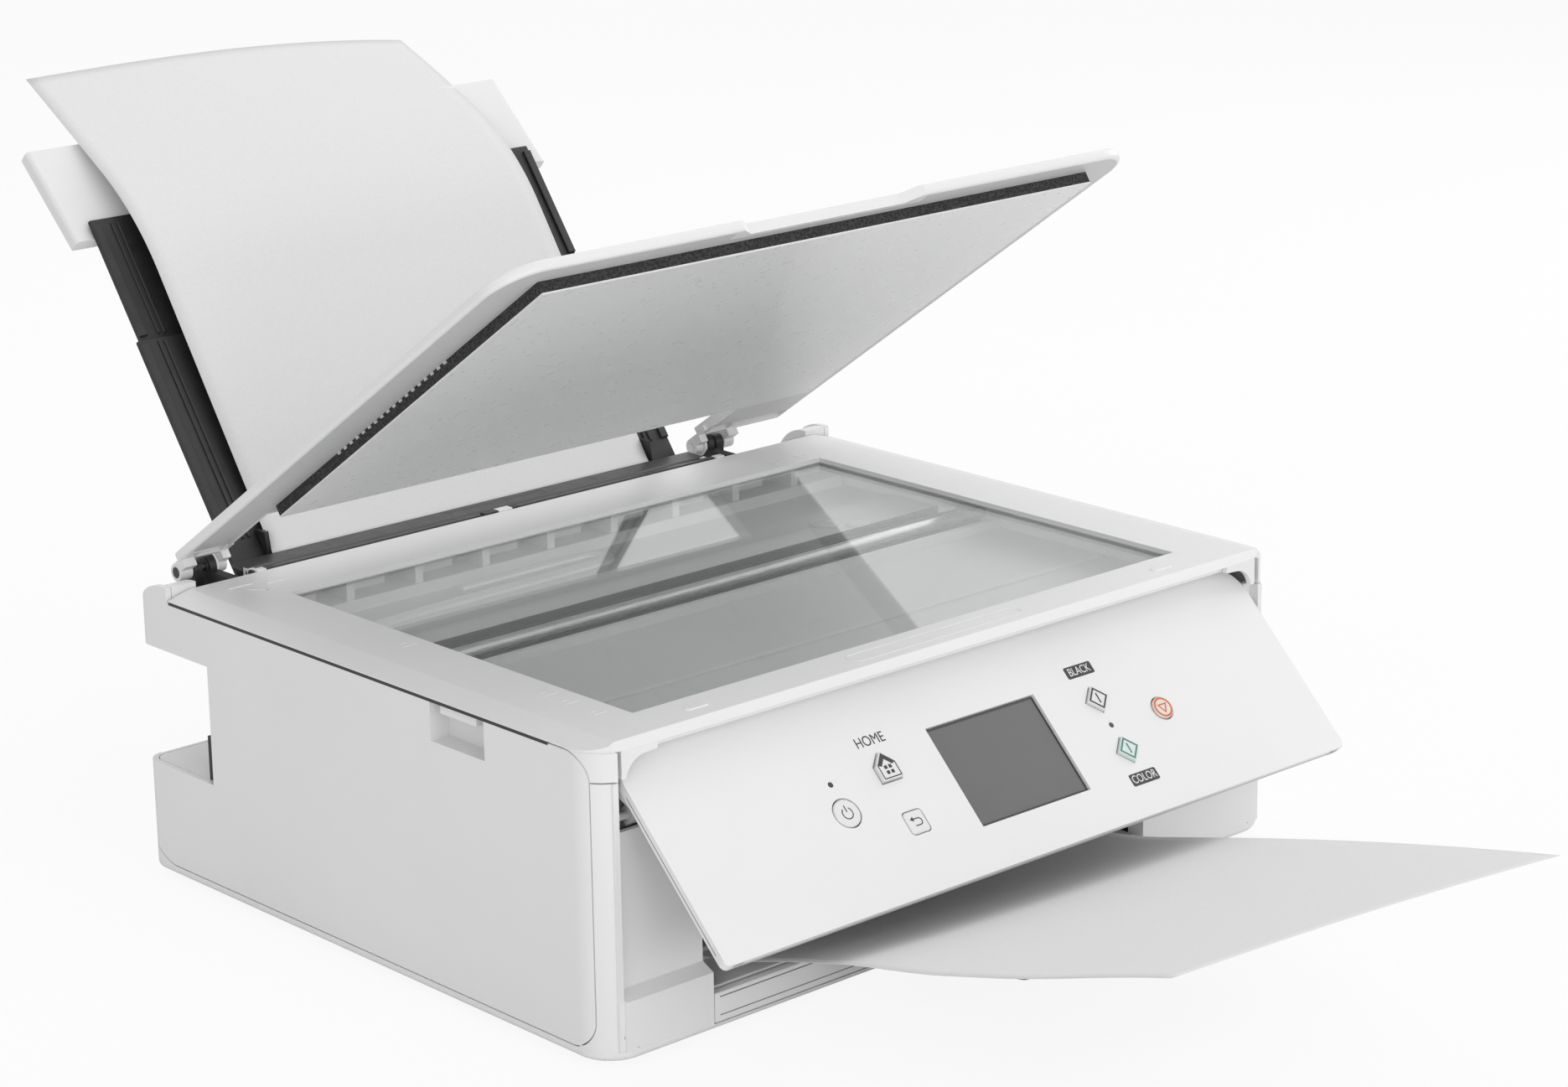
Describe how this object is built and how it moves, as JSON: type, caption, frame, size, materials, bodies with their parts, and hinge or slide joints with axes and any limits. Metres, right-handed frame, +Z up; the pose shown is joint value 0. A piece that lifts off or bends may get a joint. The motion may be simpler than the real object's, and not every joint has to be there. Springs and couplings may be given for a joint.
{
  "type": "inkjet printer",
  "caption": "Flatbed inkjet printer and scanner with a hinged document lid, a tilting touch control panel, a paper cassette, a sliding output tray and a drawn-out rear paper support.",
  "frame": {"origin": "on the surface that the feet stand on, under the middle of the flat underside", "axes": "+X to the right seen from the front, +Y to the back, +Z up"},
  "size_m": [0.372, 0.6853, 0.3092],
  "materials": {
    "case_white": "fine satin moulded plastic",
    "light_grey_plastic": "satin moulded plastic",
    "dark_plastic": "fine textured moulded plastic",
    "foam": "open cell foam",
    "pad": "smooth white sheet",
    "foot_rubber": "matt rubber",
    "roller_rubber": "ground rubber",
    "belt": "toothed rubber",
    "steel": "zinc plated",
    "flatbed_glass": "polished float glass",
    "screen": "polished dark grey cover",
    "lamp": "smoked lens",
    "key_white": "satin",
    "key_black": "satin with a dark outline",
    "key_teal": "satin with a blue green outline",
    "key_orange": "satin with an orange outline",
    "ink_tank": "smooth",
    "circuit_board": "solder mask",
    "paper": "uncoated white office paper"
  },
  "bodies": {
    "case": {"base_case": "case_white", "rubber_feet": "foot_rubber", "left_side_cover": "case_white", "right_side_cover": "case_white", "rear_cover": "case_white", "connector_bay": "light_grey_plastic", "power_inlet": "dark_plastic", "usb_port": "steel", "case_screws": "steel", "front_frame": "case_white", "cassette_bridge": "dark_plastic", "rear_frame": "case_white", "hinge_posts": "light_grey_plastic", "hinge_pins": "steel", "rear_tray_base": "dark_plastic", "platen": "dark_plastic", "carriage_rail": "steel", "carriage_motor": "steel", "carriage_belt": "belt", "maintenance_station": "dark_plastic", "main_board": "circuit_board", "power_supply": "steel", "loaded_sheet": "paper"},
    "scanner": {"scanner_bezel": "case_white", "scanner_tub": "light_grey_plastic", "scan_glass": "flatbed_glass", "scan_rod": "steel", "scan_belt": "belt", "scanner_hinge_arms": "dark_plastic"},
    "scan_head": {"scan_carriage": "dark_plastic"},
    "lid": {"lid_shell": "case_white", "lid_liner": "light_grey_plastic", "lid_foam": "foam", "lid_pad": "pad"},
    "panel": {"panel_shell": "case_white", "panel_back": "light_grey_plastic", "touch_screen": "screen", "status_lamps": "lamp"},
    "power_key": {"power_button": "key_white"},
    "home_key": {"home_button": "key_white"},
    "back_key": {"back_button": "key_white"},
    "stop_key": {"stop_button": "key_orange"},
    "black_start_key": {"black_start_button": "key_black"},
    "colour_start_key": {"colour_start_button": "key_teal"},
    "cassette_body": {"cassette": "light_grey_plastic"},
    "tray": {"output_tray": "dark_plastic", "printed_sheet": "paper"},
    "flap": {"output_support": "dark_plastic"},
    "lower_support": {"support_lower": "dark_plastic"},
    "upper_support": {"support_upper": "dark_plastic", "support_cover": "case_white"},
    "left_guide": {"left_paper_guide": "dark_plastic"},
    "right_guide": {"right_paper_guide": "dark_plastic"},
    "slot_cover": {"feed_slot_cover": "dark_plastic"},
    "carriage": {"print_carriage": "dark_plastic", "ink_tanks": "ink_tank"},
    "motor_pulley": {"drive_pulley": "dark_plastic"},
    "free_pulley": {"idler_pulley": "dark_plastic"},
    "feed": {"feed_roller": "roller_rubber"},
    "eject": {"eject_roller": "roller_rubber"}
  },
  "joints": [
    {"name": "scanner_lift", "type": "hinge", "parent": "case", "child": "scanner", "pos_m": [0, 0.153, 0.1285], "axis": [-1, 0, 0], "range_deg": [0, 36]},
    {"name": "lid_lift", "type": "hinge", "parent": "scanner", "child": "lid", "pos_m": [0, 0.153, 0.1285], "axis": [-1, 0, 0], "range_deg": [-34.5, 30]},
    {"name": "scan_travel", "type": "slide", "parent": "scanner", "child": "scan_head", "axis": [1, 0, 0], "range_m": [0, 0.31]},
    {"name": "panel_tilt", "type": "hinge", "parent": "case", "child": "panel", "pos_m": [0, -0.133, 0.0958], "axis": [-1, 0, 0], "range_deg": [-45, 20]},
    {"name": "cassette_slide", "type": "slide", "parent": "case", "child": "cassette_body", "axis": [0, -1, 0], "range_m": [0, 0.22]},
    {"name": "tray_slide", "type": "slide", "parent": "case", "child": "tray", "axis": [0, -1, 0], "range_m": [-0.125, 0]},
    {"name": "flap_fold", "type": "hinge", "parent": "tray", "child": "flap", "pos_m": [0, -0.188, 0.0207], "axis": [-1, 0, 0], "range_deg": [-20, 0], "deforming": ["printed_sheet"]},
    {"name": "lower_support_slide", "type": "slide", "parent": "case", "child": "lower_support", "axis": [0, 0.5878, 0.809], "range_m": [-0.06, 0]},
    {"name": "upper_support_slide", "type": "slide", "parent": "lower_support", "child": "upper_support", "axis": [0, 0.5878, 0.809], "range_m": [-0.05, 0]},
    {"name": "guide_slide", "type": "slide", "parent": "case", "child": "left_guide", "axis": [1, 0, 0], "range_m": [-0.003, 0.06], "deforming": ["loaded_sheet"]},
    {"name": "right_guide_slide", "type": "slide", "parent": "case", "child": "right_guide", "axis": [1, 0, 0], "range_m": [-0.06, 0.003]},
    {"name": "slot_cover_lift", "type": "hinge", "parent": "case", "child": "slot_cover", "pos_m": [0, 0.141, 0.1252], "axis": [1, 0, 0], "range_deg": [0, 80]},
    {"name": "carriage_travel", "type": "slide", "parent": "case", "child": "carriage", "axis": [1, 0, 0], "range_m": [-0.245, 0]},
    {"name": "motor_pulley_spin", "type": "hinge", "parent": "case", "child": "motor_pulley", "pos_m": [-0.15, 0.057, 0.052], "axis": [0, 1, 0], "range_deg": [-2600, 60]},
    {"name": "free_pulley_spin", "type": "hinge", "parent": "case", "child": "free_pulley", "pos_m": [0.15, 0.057, 0.052], "axis": [0, 1, 0], "range_deg": [-2600, 60]},
    {"name": "feed_spin", "type": "hinge", "parent": "case", "child": "feed", "pos_m": [0, 0.06, 0.0223], "axis": [1, 0, 0], "continuous": true},
    {"name": "eject_spin", "type": "hinge", "parent": "case", "child": "eject", "pos_m": [0, -0.058, 0.0238], "axis": [1, 0, 0], "continuous": true},
    {"name": "power_press", "type": "slide", "parent": "panel", "child": "power_key", "axis": [0, 0.7071, -0.7071], "range_m": [0, 0.0007], "stiffness_N_per_m": 1200},
    {"name": "home_press", "type": "slide", "parent": "panel", "child": "home_key", "axis": [0, 0.7071, -0.7071], "range_m": [0, 0.0007], "stiffness_N_per_m": 1200},
    {"name": "back_press", "type": "slide", "parent": "panel", "child": "back_key", "axis": [0, 0.7071, -0.7071], "range_m": [0, 0.0007], "stiffness_N_per_m": 1200},
    {"name": "stop_press", "type": "slide", "parent": "panel", "child": "stop_key", "axis": [0, 0.7071, -0.7071], "range_m": [0, 0.0007], "stiffness_N_per_m": 1200},
    {"name": "black_start_press", "type": "slide", "parent": "panel", "child": "black_start_key", "axis": [0, 0.7071, -0.7071], "range_m": [0, 0.0007], "stiffness_N_per_m": 1200},
    {"name": "colour_start_press", "type": "slide", "parent": "panel", "child": "colour_start_key", "axis": [0, 0.7071, -0.7071], "range_m": [0, 0.0007], "stiffness_N_per_m": 1200}
  ],
  "couplings": [
    {"joint": "right_guide_slide", "follows": "guide_slide", "ratio": -1},
    {"joint": "motor_pulley_spin", "follows": "carriage_travel", "rad_per_m": 181.82},
    {"joint": "free_pulley_spin", "follows": "carriage_travel", "rad_per_m": 181.82},
    {"joint": "eject_spin", "follows": "feed_spin", "ratio": 1.6}
  ]
}
